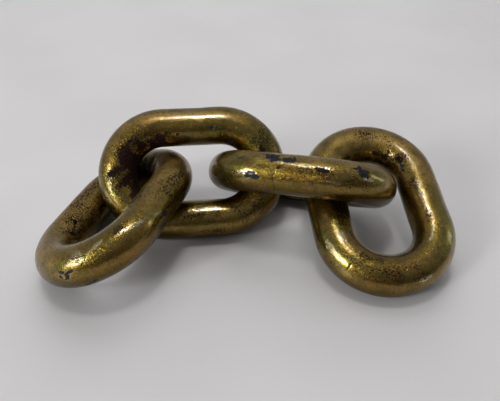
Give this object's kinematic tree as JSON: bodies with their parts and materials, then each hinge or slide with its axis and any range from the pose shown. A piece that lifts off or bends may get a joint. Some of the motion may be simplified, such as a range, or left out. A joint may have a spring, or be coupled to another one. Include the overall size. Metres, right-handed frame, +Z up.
{
  "type": "chain",
  "caption": "Short run of interlocked oval round-bar links in worn brass, lying at rest; either end link takes a hook, a shackle or the next link.",
  "frame": {"origin": "middle of the bounding box, on the surface that the chain lies on", "axes": "+X along the run of the chain, from the left end link to the right end link; +Z up; -Y towards the side that the two end links lie on"},
  "size_m": [0.203, 0.0976, 0.0566],
  "materials": {
    "worn_brass": "worn, semi-bright, dark spots where the coat is gone"
  },
  "bodies": {
    "left_end": {"left_end_link": "worn_brass"},
    "left_mid": {"left_mid_link": "worn_brass"},
    "right_mid": {"right_mid_link": "worn_brass"},
    "right_end": {"right_end_link": "worn_brass"}
  },
  "joints": [
    {"name": "left_end_ride", "type": "hinge", "parent": "left_mid", "child": "left_end", "pos_m": [-0.04161, 0.02025, 0.0283], "axis": [-0.0526, 0.7529, -0.6561], "range_deg": [0, 60]},
    {"name": "right_mid_swing", "type": "hinge", "parent": "left_mid", "child": "right_mid", "pos_m": [0.01153, 0.02327, 0.0275], "axis": [0.0022, -0.6569, -0.754], "range_deg": [0, 50]},
    {"name": "right_end_ride", "type": "hinge", "parent": "right_mid", "child": "right_end", "pos_m": [0.03983, 0.01267, 0.0275], "axis": [-0.138, -0.6357, -0.7595], "range_deg": [0, 75]}
  ]
}
